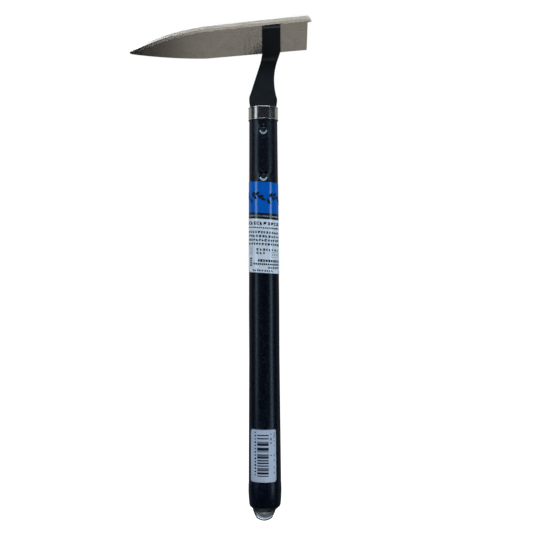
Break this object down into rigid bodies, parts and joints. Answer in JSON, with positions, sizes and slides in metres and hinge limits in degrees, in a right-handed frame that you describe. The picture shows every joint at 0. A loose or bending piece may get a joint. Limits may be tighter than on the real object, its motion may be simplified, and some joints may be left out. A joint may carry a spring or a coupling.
{
  "type": "hand sickle",
  "caption": "Weeding hand sickle: a leaf-shaped steel blade leaning back on a bent black neck, steel ferrule, slim tapered black wooden handle, hanging loop.",
  "frame": {"origin": "on the handle's axis at the middle of the cylindrical grip land", "axes": "+Z along the handle from the butt towards the blade, -Y towards the user (the side that the blade leans to), the blade's point towards -X"},
  "size_m": [0.1461, 0.0402, 0.3994],
  "materials": {
    "blade_steel": "satin ground stainless",
    "neck_paint": "black semi-matt paint",
    "weld_steel": "black paint over a weld bead",
    "ferrule_steel": "polished drawn tube",
    "handle_paint": "black satin paint over wood",
    "pin_steel": "painted over with the handle",
    "loop_steel": "bent sheet steel",
    "label_paper": null,
    "sticker_paper": "coated paper sticker"
  },
  "bodies": {
    "root": {"blade": "blade_steel", "neck": "neck_paint", "spine_weld": "weld_steel", "ferrule": "ferrule_steel", "handle": "handle_paint", "upper_tang_pin": "pin_steel", "lower_tang_pin": "pin_steel", "hanging_loop": "loop_steel", "loop_pin": "loop_steel", "wrap_label": "label_paper", "barcode_sticker": "sticker_paper"}
  },
  "joints": []
}
